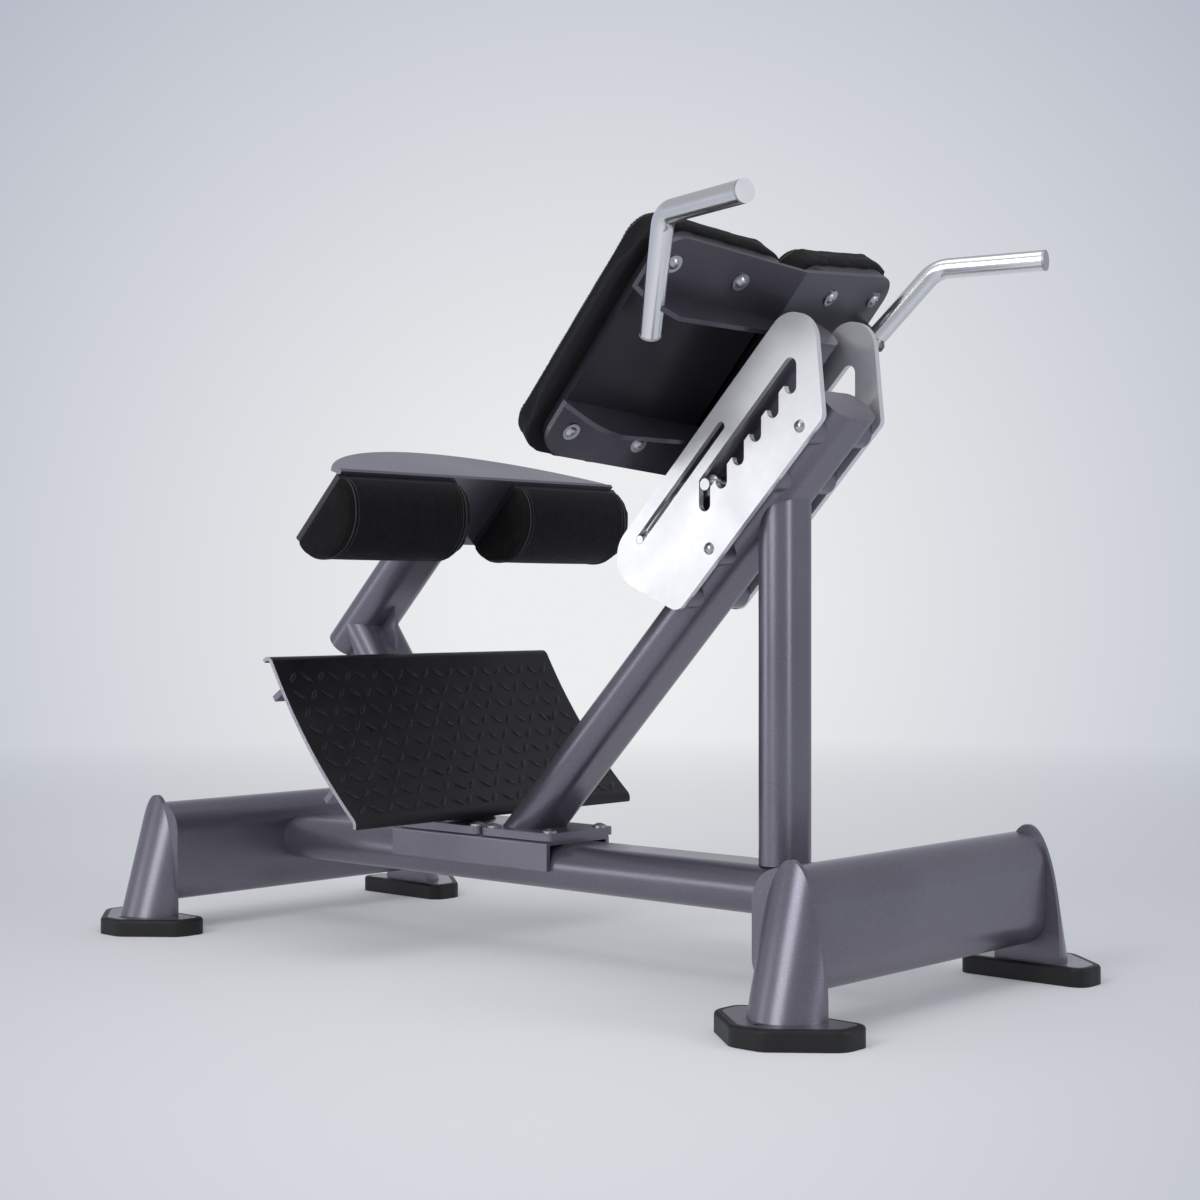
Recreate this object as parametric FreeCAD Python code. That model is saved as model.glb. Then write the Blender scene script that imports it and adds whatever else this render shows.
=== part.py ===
"""Roman chair: a 45-degree back-extension bench with ratchet-adjusted hip pads.

Millimetres. X is across, -Y is the way the user faces, Z is up from the floor, and the origin is on
the floor midway between the four feet. The inclined column, the carriage and the calf bracket are
built in frames of their own, whose directions are along (rising to the front), across (X) and off
(square to the other two, on the upper side).
"""
import FreeCAD
import Part
import math
import os

V = FreeCAD.Vector
ACROSS = V(1, 0, 0)
UP = V(0, 0, 1)

# ---- driving dimensions: base ----
foot_spacing_y = 1084.8        # between the centres of the front and rear legs
leg_face_x = 236.5             # flat inner faces of the legs
leg_radius = 44.45
leg_tilt = 16.0                # lean of the leg tube from the vertical
leg_wall = 4.0
leg_plate_thick = 6.0
foot_height = 22.0             # floor to the top of the steel foot flange
flange_thick = 8.0
foot_inner = 24.5              # inner end of a foot, inboard of the leg's face
foot_shoulder = 21.5           # corners and outer end of a foot, outboard of it
foot_outer = 75.5
foot_length = 172.0
foot_nose = 40.0               # straight stretch at the outer end of a foot
foot_corners = (18.0, 26.0, 22.0)      # corner radii of the rubber: inner, shoulder and nose
foot_rim_round = 4.0
rim_width = 9.0                # rubber rim around the steel flange
floor_bolt_out = 53.5          # anchor hole, outboard of the leg's face
floor_bolt_radius = 5.5
cross_height = 134.0
cross_depth = 76.0
cross_centre_z = 107.0
cross_inset_y = 12.0           # cross tube centre, inboard of the leg centre
cross_wall = 4.0
spine_width = 104.0
spine_height = 58.0
spine_top_z = 142.0
spine_wall = 4.0

# ---- driving dimensions: saddle and flanges on the spine ----
saddle_plate = 6.0
saddle_front_y = -28.0
saddle_rear_y = 257.0
saddle_skirt = 32.0
saddle_gap = 0.5               # between a skirt and the side of the spine
flange_plate = 10.0
flange_gap = 3.0               # between the two bolted flanges
column_flange_front_y = -36.0
column_flange_length = 126.0
post_flange_length = 150.0
flange_corner = 10.0
flange_bolt_edge = 14.0        # bolt centre in from the edges of a flange
bolt_hole_gap = 0.3            # radial clearance of a flange bolt in its flange

# ---- driving dimensions: fasteners, each (shank radius, head radius, head height) ----
flange_bolt = (5.0, 8.0, 3.0)
plate_bolt = (5.0, 7.5, 5.0)
board_bolt = (4.0, 7.0, 3.5)
calf_bolt = (4.0, 7.0, 4.0)
washer_thick = 2.0
flange_washer_radius = 9.5
board_washer_radius = 11.0

# ---- driving dimensions: column and side plates ----
incline = 46.0                 # slope of the column and the side plates
column_width = 84.0
column_thick = 48.0
column_wall = 4.0
column_top_y = -448.0          # centre of the column's closed top end
column_top_z = 672.0
cap_thick = 4.0
upright_width = 72.0
upright_depth = 46.0
upright_y = -357.0
plate_gap = 4.5                # between a ratchet link and a side plate
plate_thick = 8.0
plate_upper_off = 109.0        # edges of a side plate, off the column axis
plate_lower_off = -17.4
boss_radius = 20.0
plate_front_low = -7.2         # corners of a side plate, along the column from its top
plate_front_high = 99.5
plate_rear_high = -358.7
plate_rear_low = -311.5
plate_corners = (12.0, 34.6, 38.9, 17.0)
boss_stations = (-35.5, -107.5, -224.3, -294.0)
plate_bolt_grip = 6.0          # bolt length inside the column, past its outer face

# ---- driving dimensions: slot, ratchet and carriage ----
slot_along = -290.0            # slot pin at the lowest setting
slot_off = 86.0
slot_pin_radius = 5.0
slot_clearance = 0.5
notch_pitch = 36.0
notch_steps = 5
ratchet_pin_radius = 7.0
notch_clearance = 1.5
seat_along = -191.5            # ratchet pin seated in the lowest notch
seat_off = 41.0
hook_height = 2.0              # hook tip above the seat centre
hook_radius = 0.6
gullet_radius = 1.2
opening_corners = (3.0, 9.0)
channel_off = 67.0             # straight upper edge of the ratchet opening
link_length = 61.4
link_drop = 23.3               # lift of the ratchet pin from seat to channel
link_thick = 5.0
link_gap = 1.5                 # between a link and the side of the carriage tube
link_half_width = 12.0
pivot_radius = 6.0
pivot_proud = 1.0              # pivot past the outer face of a link
collar_radius = 11.0
pin_running_gap = 0.05
pad_tilt = 49.0                # slope of the carriage tube and the hip pads
tube_off = -2.0                # tube axis off the slot pin
tube_low = -45.0
tube_top = 318.0
glide_width = 26.0
glide_low = 8.0
glide_length = 44.0
glide_gap = 0.3

# ---- driving dimensions: cradles, hip pads and handles ----
cradle_angle = 8.0             # each half of the pad bed turns up by this
cradle_off = 46.7              # back of the pad bed at the middle, off the slot pin
cradle_plate = 6.0
cradle_half_width = 221.0
cradle_leg_half_width = 196.0
cradle_tip_drop = 30.0         # how far a flange tip hangs below the bed at its end
cradle_tip_round = 2.0
upper_cradle_round = 14.0
lower_cradle_round = 50.0
upper_cradle_edge = 291.0      # flange faces along the tube
lower_cradle_edge = 134.0
upper_bolt_row = 333.0
lower_bolt_row = 98.0
inner_bolt_x = 87.6
outer_bolt_x = 194.0
board_low = 62.0
board_high = 366.0
board_thick = 12.0
board_inner = 13.5
board_outer = 220.0
board_corner = 36.0
pad_gap_half = 10.5
pad_outer = 238.0
pad_overhang_low = 14.0        # pad past the low and high ends of its board
pad_overhang_high = 6.0
pad_thick = 42.0
pad_corner = 40.0
pad_edge_round = 12.0
handle_radius = 12.7
handle_wall = 2.5
handle_bend = 34.0
handle_cap = 3.0
handle_foot = (194.0, 254.0, 47.2)     # across, along and off the slot pin
handle_elbow = (262.0, 394.2, 65.2)
handle_end = (296.2, 484.5, -37.0)

# ---- driving dimensions: calf support and foot plate ----
calf_tilt = 45.0
calf_web_low = (222.0, 526.0)          # y, z of the lower edge of the bracket's web
calf_web_length = 119.0
calf_plate = 5.0
calf_half_width = 252.0
calf_flange_rise = 18.0                # slope of the two flanges, rising to the rear
calf_flange_end = 20.0
calf_flange_depth = 128.0
calf_pad_inner = 48.0
calf_pad_outer = 262.0
calf_pad_depth = 72.0
calf_pad_side = 26.0
calf_board_thick = 8.0
calf_board_inset = 5.0
calf_arm_low = -222.0
calf_arm_high = 92.0
post_slope = 53.0
post_top = (356.0, 399.0)              # y, z where the post axis meets the arm
gusset_y = 313.0
gusset_thick = 6.0
gusset_reach = 144.0           # more than the space between arm and post at the gusset
tread_radius = 765.0
tread_centre = (-393.8, 755.3)
tread_low_angle = -48.6
tread_high_angle = -30.1
tread_thick = 5.0
tread_half_width = 255.0
lip_radius = 7.0
lip_turn_low = 72.0
lip_turn_high = 112.0
tread_bolt_x = (-143.0, 194.0)
tread_hole_radius = 4.0
tread_bolt_radius = 3.0
tread_bolt_sunk = 1.0          # bolt end below the tread face
bar_angles = (-44.6, -38.1, -33.0)
bar_depth = 22.0
bar_thick = 8.0
bar_half_lengths = (251.0, 212.0, 251.0)
strut_x = 26.0
strut_thick = 6.0
strut_low = 150.0              # strut ends, measured down the post axis
strut_high = 30.0
strut_past_bars = 0.6          # degrees of strut beyond the outer bars

# ---- places that follow from them ----
leg_y = foot_spacing_y / 2
cross_y = leg_y - cross_inset_y
leg_plate_inner_x = leg_face_x - leg_plate_thick
foot_inner_x = leg_face_x - foot_inner
foot_shoulder_x = leg_face_x + foot_shoulder
foot_outer_x = leg_face_x + foot_outer
floor_bolt_x = leg_face_x + floor_bolt_out
saddle_top_z = spine_top_z + saddle_plate
flange_top_z = saddle_top_z + flange_plate
plate_inner_x = column_width / 2 + link_gap + link_thick + plate_gap
plate_outer_x = plate_inner_x + plate_thick
column_half = column_thick / 2
seat_half = ratchet_pin_radius + notch_clearance
travel = notch_pitch * notch_steps
beyond = 2 * foot_spacing_y
column_top = V(0, column_top_y, column_top_z)
nodes = {}


# ---- shape helpers ----
def directions(slope):
    """Unit vectors along and off a member that rises to the front at this slope."""
    angle = math.radians(slope)
    return V(0, -math.cos(angle), math.sin(angle)), V(0, math.sin(angle), math.cos(angle))


def point(origin, slope, along, across, off):
    """Frame point at these distances along, across and off a sloped member."""
    run, rise = directions(slope)
    return origin + run * along + ACROSS * across + rise * off


def tilted(shape, origin, slope):
    """Move a shape built in (along, across, off) onto a member at this origin and slope."""
    run, rise = directions(slope)
    matrix = FreeCAD.Matrix(run.x, 1, rise.x, origin.x, run.y, 0, rise.y, origin.y,
                            run.z, 0, rise.z, origin.z, 0, 0, 0, 1)
    moved = shape.copy()
    moved.Placement = FreeCAD.Placement(matrix).multiply(moved.Placement)
    return moved


def outline(points, radii):
    """Face inside a closed outline of 3D points whose corners are rounded."""
    if not isinstance(radii, (list, tuple)):
        radii = [radii] * len(points)
    starts = []
    ends = []
    middles = []
    for index, corner in enumerate(points):
        back = (points[index - 1] - corner).normalize()
        ahead = (points[(index + 1) % len(points)] - corner).normalize()
        half = back.getAngle(ahead) / 2
        reach = radii[index] / math.tan(half)
        inward = (back + ahead).normalize()
        starts.append(corner + back * reach)
        ends.append(corner + ahead * reach)
        middles.append(corner + inward * (radii[index] / math.sin(half) - radii[index]))
    edges = []
    for index in range(len(points)):
        if radii[index] > 0:
            edges.append(Part.Arc(starts[index], middles[index], ends[index]).toShape())
        follower = starts[(index + 1) % len(points)]
        if ends[index].distanceToPoint(follower) > 1e-6:
            edges.append(Part.LineSegment(ends[index], follower).toShape())
    return Part.Face(Part.Wire(edges))


def slab(points, radii, push):
    """Plate of a rounded outline, extruded by the vector push."""
    return outline(points, radii).extrude(push)


def side_slab(points, radii, low_x, high_x):
    """Plate lying across X, from its outline in (y, z)."""
    lifted = [V(low_x, y, z) for y, z in points]
    return slab(lifted, radii, V(high_x - low_x, 0, 0))


def rod(start, end, radius):
    """Round bar between two points."""
    return Part.makeCylinder(radius, start.distanceToPoint(end), start, end - start)


def cross_rod(low_x, high_x, y, z, radius):
    """Round bar along X."""
    return Part.makeCylinder(radius, high_x - low_x, V(low_x, y, z), ACROSS)


def oval(width, thick, low, high):
    """Flat-oval bar in (along, across, off), with half-round sides."""
    half = thick / 2
    flat = width / 2 - half
    upper = V(low, flat, half)
    lower = V(low, -flat, -half)
    edges = [Part.LineSegment(V(low, -flat, half), upper).toShape(),
             Part.Arc(upper, V(low, width / 2, 0), V(low, flat, -half)).toShape(),
             Part.LineSegment(V(low, flat, -half), lower).toShape(),
             Part.Arc(lower, V(low, -width / 2, 0), V(low, -flat, half)).toShape()]
    return Part.Face(Part.Wire(edges)).extrude(V(high - low, 0, 0))


def oval_tube(width, thick, wall, low, high):
    """Hollow flat-oval bar in (along, across, off)."""
    return oval(width, thick, low, high).cut(oval(width - 2 * wall, thick - 2 * wall, low, high))


def below(level):
    """Block that fills the space around the base below a level, to trim what stands on it."""
    return Part.makeBox(beyond, beyond, beyond, V(-beyond / 2, -beyond / 2, level - beyond))


def main_solid(shape):
    """Largest solid left by a cut."""
    return max(shape.Solids, key=lambda solid: solid.Volume)


def together(solids):
    """Several separate solids as one shape."""
    return Part.makeCompound(solids)


def mirrored(shape):
    """The same shape on the other side of the middle plane."""
    return shape.mirror(V(0, 0, 0), ACROSS)


def both(name, shape):
    """Keep a right-hand piece (+X) and its mirror image."""
    nodes[name + "_right"] = shape
    nodes[name + "_left"] = mirrored(shape)


def pair(name, shape):
    """Keep a right-hand piece and its mirror image as two solids of one node."""
    nodes[name] = together(shape.Solids + mirrored(shape).Solids)


def dome_bolt(sizes, length, place, heading):
    """Dome-head bolt whose head stands on a face at this place and points along its heading."""
    shank, head, rise = sizes
    crown = (head ** 2 + rise ** 2) / (2 * rise)
    dome = Part.makeSphere(crown, V(0, 0, rise - crown)).common(Part.makeCylinder(head, rise))
    socket = Part.makeCylinder(head / 3, rise, V(0, 0, rise / 3))
    bolt = dome.cut(socket).fuse(Part.makeCylinder(shank, length, V(0, 0, -length))).removeSplitter()
    bolt.Placement = FreeCAD.Placement(place, FreeCAD.Rotation(UP, heading))
    return bolt


def washer(radius, hole, place):
    """Flat ring whose underside is at this place."""
    ring = Part.makeCylinder(radius, washer_thick, place)
    return ring.cut(Part.makeCylinder(hole, washer_thick, place))


# ---- base frame ----
def foot_block(inset, low, high):
    """Foot slab of the +X, +Y corner between two heights, drawn in by an inset."""
    turn = math.atan2(foot_outer_x - foot_shoulder_x, (foot_length - foot_nose) / 2)
    half = foot_length / 2 - inset
    nose = foot_nose / 2 - inset * math.tan(turn / 2)
    inner = foot_inner_x + inset
    shoulder = foot_shoulder_x - inset * math.tan((math.pi / 2 - turn) / 2)
    outer = foot_outer_x - inset
    plan = [(inner, -half), (shoulder, -half), (outer, -nose), (outer, nose), (shoulder, half), (inner, half)]
    radii = [radius - inset for radius in foot_corners + foot_corners[::-1]]
    return slab([V(x, leg_y + y, low) for x, y in plan], radii, V(0, 0, high - low))


def leg_pieces():
    """Leg shell, inner plate, steel flange and rubber foot of the +X, +Y corner."""
    angle = math.radians(leg_tilt)
    lean = V(-math.sin(angle), 0, math.cos(angle))
    base = V(leg_face_x, leg_y, foot_height)
    start = base - lean * leg_radius
    reach = 2 * leg_radius / math.tan(angle) + 2 * leg_radius
    outside = Part.makeBox(reach, 4 * leg_radius, reach, V(leg_face_x, leg_y - 2 * leg_radius, foot_height))
    full = Part.makeCylinder(leg_radius, reach, start, lean).common(outside)
    core = Part.makeCylinder(leg_radius - leg_wall, reach, start, lean)
    shell = full.cut(core)
    arch = [item for item in full.Faces if abs(item.CenterOfMass.x - leg_face_x) < 0.01]
    plate = arch[0].extrude(V(-leg_plate_thick, 0, 0))
    end = oval(cross_height, cross_depth, leg_plate_inner_x, leg_face_x)
    end.Placement = FreeCAD.Placement(V(0, cross_y, cross_centre_z), FreeCAD.Rotation(ACROSS, 90))
    plate = plate.fuse(end).removeSplitter()
    hole = Part.makeCylinder(floor_bolt_radius, 2 * foot_height, V(floor_bolt_x, leg_y, 0))
    seat = foot_block(rim_width, foot_height - flange_thick, foot_height)
    steel = seat.cut(hole)
    boot = foot_block(0, 0, foot_height)
    rims = [edge for edge in boot.Edges if abs(edge.CenterOfMass.z - foot_height) < 0.1]
    boot = boot.makeFillet(foot_rim_round, rims)
    rubber = boot.cut(seat).cut(hole)
    return {"leg": shell, "leg_plate": plate, "foot_flange": steel, "rubber_foot": rubber}


def base():
    """Four legs on their feet, the two cross tubes and the spine."""
    for name, shape in leg_pieces().items():
        copies = {"rear_right": shape, "rear_left": mirrored(shape)}
        for side in ("right", "left"):
            copies["front_" + side] = copies["rear_" + side].mirror(V(0, 0, 0), V(0, 1, 0))
        if name in ("leg", "rubber_foot"):
            nodes.update({name + "_" + place: copy for place, copy in copies.items()})
        else:
            nodes[name + "s"] = together(list(copies.values()))
    axis = V(0, 0, spine_top_z - spine_height / 2)
    spine = tilted(oval_tube(spine_width, spine_height, spine_wall, -cross_y, cross_y), axis, 0)
    ends = (-leg_plate_inner_x, leg_plate_inner_x)
    for name, side in (("front", -1), ("rear", 1)):
        place = FreeCAD.Placement(V(0, side * cross_y, cross_centre_z), FreeCAD.Rotation(ACROSS, 90))
        bar = oval(cross_height, cross_depth, *ends)
        tube = oval_tube(cross_height, cross_depth, cross_wall, *ends)
        bar.Placement = place
        tube.Placement = place
        nodes["cross_tube_" + name] = tube
        spine = main_solid(spine.cut(bar))
    return spine


# ---- saddle, flanges and their bolts ----
def flange_bolt_places(front_y, length):
    """Plan places of the four bolts of one flange."""
    half = plate_outer_x - flange_bolt_edge
    rows = (front_y + flange_bolt_edge, front_y + length - flange_bolt_edge)
    return [(x, y) for x in (-half, half) for y in rows]


def flange(front_y, length):
    """Rectangular foot flange on the saddle, with rounded corners."""
    rear_y = front_y + length
    half = plate_outer_x
    plan = [(-half, front_y), (half, front_y), (half, rear_y), (-half, rear_y)]
    return slab([V(x, y, saddle_top_z) for x, y in plan], flange_corner, V(0, 0, flange_plate))


def saddle_and_flanges(spine):
    """Bent saddle over the spine, the two flanges on it and their fasteners."""
    post_front_y = column_flange_front_y + column_flange_length + flange_gap
    places = flange_bolt_places(column_flange_front_y, column_flange_length)
    places += flange_bolt_places(post_front_y, post_flange_length)
    length = saddle_rear_y - saddle_front_y
    outer = spine_width / 2 + saddle_gap + saddle_plate
    inner = outer - saddle_plate
    skirt_low = spine_top_z - saddle_skirt
    channel = Part.makeBox(2 * outer, length, saddle_top_z - skirt_low, V(-outer, saddle_front_y, skirt_low))
    hollow = Part.makeBox(2 * inner, length, saddle_skirt, V(-inner, saddle_front_y, skirt_low))
    channel = channel.cut(hollow)
    bends = [edge for edge in channel.Edges if abs(edge.CenterOfMass.z - saddle_top_z) < 0.1
             and abs(abs(edge.CenterOfMass.x) - outer) < 0.1 and edge.Length > length - 1]
    channel = channel.makeFillet(saddle_plate - 1, bends)
    shank = flange_bolt[0]
    hole = shank + bolt_hole_gap
    bolts = []
    washers = []
    for x, y in places:
        washers.append(washer(flange_washer_radius, hole, V(x, y, flange_top_z)))
        bolts.append(dome_bolt(flange_bolt, washer_thick + flange_plate + saddle_plate,
                               V(x, y, flange_top_z + washer_thick), UP))
    threads = [Part.makeCylinder(shank, 2 * saddle_plate, V(x, y, spine_top_z)) for x, y in places]
    drills = together([Part.makeCylinder(hole, flange_plate, V(x, y, saddle_top_z)) for x, y in places])
    nodes["column_flange"] = flange(column_flange_front_y, column_flange_length).cut(drills)
    nodes["post_flange"] = flange(post_front_y, post_flange_length).cut(drills)
    nodes["saddle_bracket"] = main_solid(channel.cut(together(threads)))
    nodes["spine_tube"] = spine
    nodes["flange_bolts"] = together(bolts)
    nodes["flange_washers"] = together(washers)


# ---- columns and side plates ----
def plate_point(along, off):
    """(y, z) of a point on the side plates."""
    place = point(column_top, incline, along, 0, off)
    return place.y, place.z


def ratchet_opening():
    """Outline and corner radii of the saw-tooth opening: upright notches below a straight edge."""
    first_y, first_z = plate_point(seat_along, seat_off)
    step_y, step_z = plate_point(seat_along + notch_pitch, seat_off)
    step_y -= first_y
    step_z -= first_z
    slope = -step_y - 2 * seat_half
    rise = math.tan(math.radians(incline))
    edge_y, edge_z = plate_point(0, channel_off)
    points = [(first_y + seat_half, edge_z - (first_y + seat_half - edge_y) * rise)]
    radii = [opening_corners[0]]
    for step in range(notch_steps + 1):
        y = first_y + step * step_y
        z = first_z + step * step_z
        points += [(y + seat_half, z - seat_half), (y - seat_half, z - seat_half)]
        radii += [seat_half, seat_half]
        if step < notch_steps:
            tip_z = z + step_z + hook_height
            points += [(y - seat_half, tip_z - slope), (y + step_y + seat_half, tip_z)]
            radii += [gullet_radius, hook_radius]
    front_y = first_y + notch_steps * step_y - seat_half
    points.append((front_y, edge_z - (front_y - edge_y) * rise))
    radii.append(opening_corners[1])
    return points, radii


def side_plate():
    """Right-hand side plate with its straight slot, ratchet opening and bolt holes."""
    corners = [plate_point(plate_front_low, plate_lower_off), plate_point(plate_front_high, plate_upper_off),
               plate_point(plate_rear_high, plate_upper_off), plate_point(plate_rear_low, plate_lower_off)]
    plate = side_slab(corners, plate_corners, plate_inner_x, plate_outer_x)
    half = slot_pin_radius + slot_clearance
    ends = (slot_along - half, slot_along + travel + half)
    slot = [plate_point(along, off) for along, off in
            ((ends[0], slot_off - half), (ends[1], slot_off - half), (ends[1], slot_off + half),
             (ends[0], slot_off + half))]
    plate = plate.cut(side_slab(slot, half, plate_inner_x, plate_outer_x))
    teeth, radii = ratchet_opening()
    plate = plate.cut(side_slab(teeth, radii, plate_inner_x, plate_outer_x))
    for station in (boss_stations[0], boss_stations[2]):
        y, z = plate_point(station, 0)
        plate = plate.cut(cross_rod(0, 2 * plate_outer_x, y, z, plate_bolt[0]))
    return plate


def columns():
    """Inclined column, its cap, the upright, the bosses and the side plates."""
    foot_along = -(column_top_z - flange_top_z) / math.sin(math.radians(incline))
    low = foot_along - column_thick
    full = tilted(oval(column_width, column_thick, low, 0), column_top, incline)
    tube = tilted(oval_tube(column_width, column_thick, column_wall, low, -cap_thick), column_top, incline)
    under = below(flange_top_z)
    tube = main_solid(tube.cut(under))
    stance = V(0, upright_y, spine_top_z)
    height = column_top_z - spine_top_z
    upright = tilted(oval_tube(upright_width, upright_depth, column_wall, 0, height), stance, 90)
    upright = upright.cut(full)
    nodes["upright"] = min(upright.Solids, key=lambda solid: solid.CenterOfMass.z)
    nodes["column_cap"] = tilted(oval(column_width, column_thick, -cap_thick, 0), column_top, incline)
    bolts = []
    bosses = []
    bolt_length = plate_outer_x - column_width / 2 + plate_bolt_grip
    for index, station in enumerate(boss_stations):
        y, z = plate_point(station, 0)
        boss = main_solid(cross_rod(0, plate_inner_x, y, z, boss_radius).cut(full))
        if index % 2 == 0:
            drill = cross_rod(0, plate_outer_x, y, z, plate_bolt[0])
            boss = boss.cut(drill)
            tube = tube.cut(drill).cut(mirrored(drill))
            bolt = dome_bolt(plate_bolt, bolt_length, V(plate_outer_x, y, z), ACROSS)
            bolts += [bolt, mirrored(bolt)]
        bosses.append(boss)
    nodes["inclined_column"] = main_solid(tube)
    pair("plate_bosses", together(bosses))
    both("side_plate", side_plate())
    nodes["plate_bolts"] = together(bolts)


# ---- carriage ----
slot_point = point(column_top, incline, slot_along, 0, slot_off)
seat_point = point(column_top, incline, seat_along, 0, seat_off)
pin_point = seat_point + V(0, 0, link_drop)
pivot_point = V(0, seat_point.y + math.sqrt(link_length ** 2 - (link_drop / 2) ** 2),
                seat_point.z + link_drop / 2)


def on_carriage(shape):
    """Move a shape from (along, across, off the slot pin) to its place on the carriage."""
    return tilted(shape, slot_point, pad_tilt)


def carriage_point(across, along, off):
    """Frame point of a place on the carriage."""
    return point(slot_point, pad_tilt, along, across, off)


def carriage_tube():
    """Carriage tube, its end caps, slot pin, link pivot and glide block."""
    width = column_width
    axis = V(0, 0, tube_off)
    full = oval(width, column_thick, tube_low, tube_top)
    tube = oval_tube(width, column_thick, column_wall, tube_low + cap_thick, tube_top - cap_thick)
    caps = []
    for low in (tube_low, tube_top - cap_thick):
        cap = oval(width, column_thick, low, low + cap_thick)
        cap.translate(axis)
        caps.append(on_carriage(cap))
    nodes["carriage_caps"] = together(caps)
    tube.translate(axis)
    full.translate(axis)
    tube = on_carriage(tube)
    full = on_carriage(full)
    slot_pin = cross_rod(-plate_outer_x, plate_outer_x, slot_point.y, slot_point.z, slot_pin_radius)
    pivot_end = width / 2 + link_gap + link_thick + pivot_proud
    pivot = cross_rod(-pivot_end, pivot_end, pivot_point.y, pivot_point.z, pivot_radius)
    nodes["carriage_tube"] = main_solid(tube.cut(slot_pin).cut(pivot))
    nodes["slot_pin"] = slot_pin
    nodes["link_pivot"] = pivot
    collar_length = plate_inner_x - glide_gap - width / 2
    collar = cross_rod(width / 4, width / 2 + collar_length, slot_point.y, slot_point.z, collar_radius)
    collar = main_solid(collar.cut(full).cut(slot_pin))
    nodes["slot_pin_collars"] = together([collar, mirrored(collar)])
    low = slot_along + glide_low
    block = Part.makeBox(glide_length, glide_width, slot_off,
                         V(low, -glide_width / 2, column_half + glide_gap))
    nodes["glide_block"] = main_solid(tilted(block, column_top, incline).cut(full))
    return full


def ratchet_link():
    """Two swinging arms on the link pivot, and the ratchet pin that they carry."""
    low_x = column_width / 2 + link_gap
    high_x = low_x + link_thick
    arm = Part.makeBox(high_x - low_x, link_length, 2 * link_half_width,
                       V(low_x, -link_length, -link_half_width))
    for y in (0, -link_length):
        arm = arm.fuse(cross_rod(low_x, high_x, y, 0, link_half_width))
    arm = arm.removeSplitter()
    rise = math.degrees(math.asin((pin_point.z - pivot_point.z) / link_length))
    arm.rotate(V(0, 0, 0), ACROSS, -rise)
    arm.translate(pivot_point)
    arm = arm.cut(cross_rod(0, plate_outer_x, pivot_point.y, pivot_point.z, pivot_radius + pin_running_gap))
    pin = cross_rod(-plate_outer_x, plate_outer_x, pin_point.y, pin_point.z, ratchet_pin_radius)
    pair("ratchet_links", main_solid(arm.cut(pin)))
    nodes["ratchet_pin"] = pin


def bed_off(across, lift):
    """Height of the V-shaped pad bed off the slot pin, at a distance across."""
    return cradle_off + abs(across) * math.tan(math.radians(cradle_angle)) + lift


def cradle(flange_low, strap_low, strap_high, tips, rounding):
    """Bent cradle plate: a V-shaped strap under the boards and a flange down to the tube."""
    end = cradle_half_width
    top = bed_off(end, 0)
    thick = cradle_plate / math.cos(math.radians(cradle_angle))
    section = [(-end, 0), (0, 0), (end, 0), (end, thick), (0, thick), (-end, thick)]
    strap = slab([V(strap_low, x, bed_off(x, lift)) for x, lift in section], 0, V(strap_high - strap_low, 0, 0))
    plan = [V(board_low, -end, 0), V(board_high, -end, 0), V(board_high, end, 0), V(board_low, end, 0)]
    strap = strap.common(slab(plan, board_corner, V(0, 0, 2 * top)))
    foot = tube_off + column_half
    leg = cradle_leg_half_width
    shape = [(-leg, foot), (leg, foot)]
    radii = [rounding, rounding]
    if tips:
        shape = [(-end, top - cradle_tip_drop)] + shape + [(end, top - cradle_tip_drop)]
        radii = [cradle_tip_round] + radii + [cradle_tip_round]
    shape = [(-end, top)] + shape + [(end, top), (0, bed_off(0, 0))]
    radii = [0] + radii + [0, 0]
    web = slab([V(flange_low, x, off) for x, off in shape], radii, V(cradle_plate, 0, 0))
    return strap.fuse(web).removeSplitter()


def bed_piece(low, high, inner, outer, corner, thick, lift, edge_round):
    """Right-hand slab on the V-shaped bed, with rounded plan corners and rounded face edges."""
    plan = [V(low, inner, 0), V(high, inner, 0), V(high, outer, 0), V(low, outer, 0)]
    piece = slab(plan, corner, V(0, 0, thick))
    if edge_round > 0:
        rim = [edge for edge in piece.Edges if abs(edge.CenterOfMass.z - thick) < 0.01]
        piece = piece.makeFillet(edge_round, rim)
    piece.translate(V(0, 0, lift))
    piece.rotate(V(0, 0, 0), V(1, 0, 0), cradle_angle)
    piece.translate(V(0, 0, cradle_off))
    return piece


def bed_bolts(length):
    """Bolts and washers that hold the boards to the cradles: right-hand places only."""
    bolts = []
    washers = []
    for along in (lower_bolt_row, upper_bolt_row):
        for across in (inner_bolt_x, outer_bolt_x):
            place = V(along, across, -washer_thick)
            for shapes, item in ((bolts, dome_bolt(board_bolt, length, place, -UP)),
                                 (washers, washer(board_washer_radius, board_bolt[0], place))):
                item.rotate(V(0, 0, 0), V(1, 0, 0), cradle_angle)
                item.translate(V(0, 0, cradle_off))
                shapes.append(item)
    return together(bolts), together(washers)


def handle_points():
    """Foot, elbow and end of the right-hand handle."""
    return [carriage_point(*place) for place in (handle_foot, handle_elbow, handle_end)]


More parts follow.
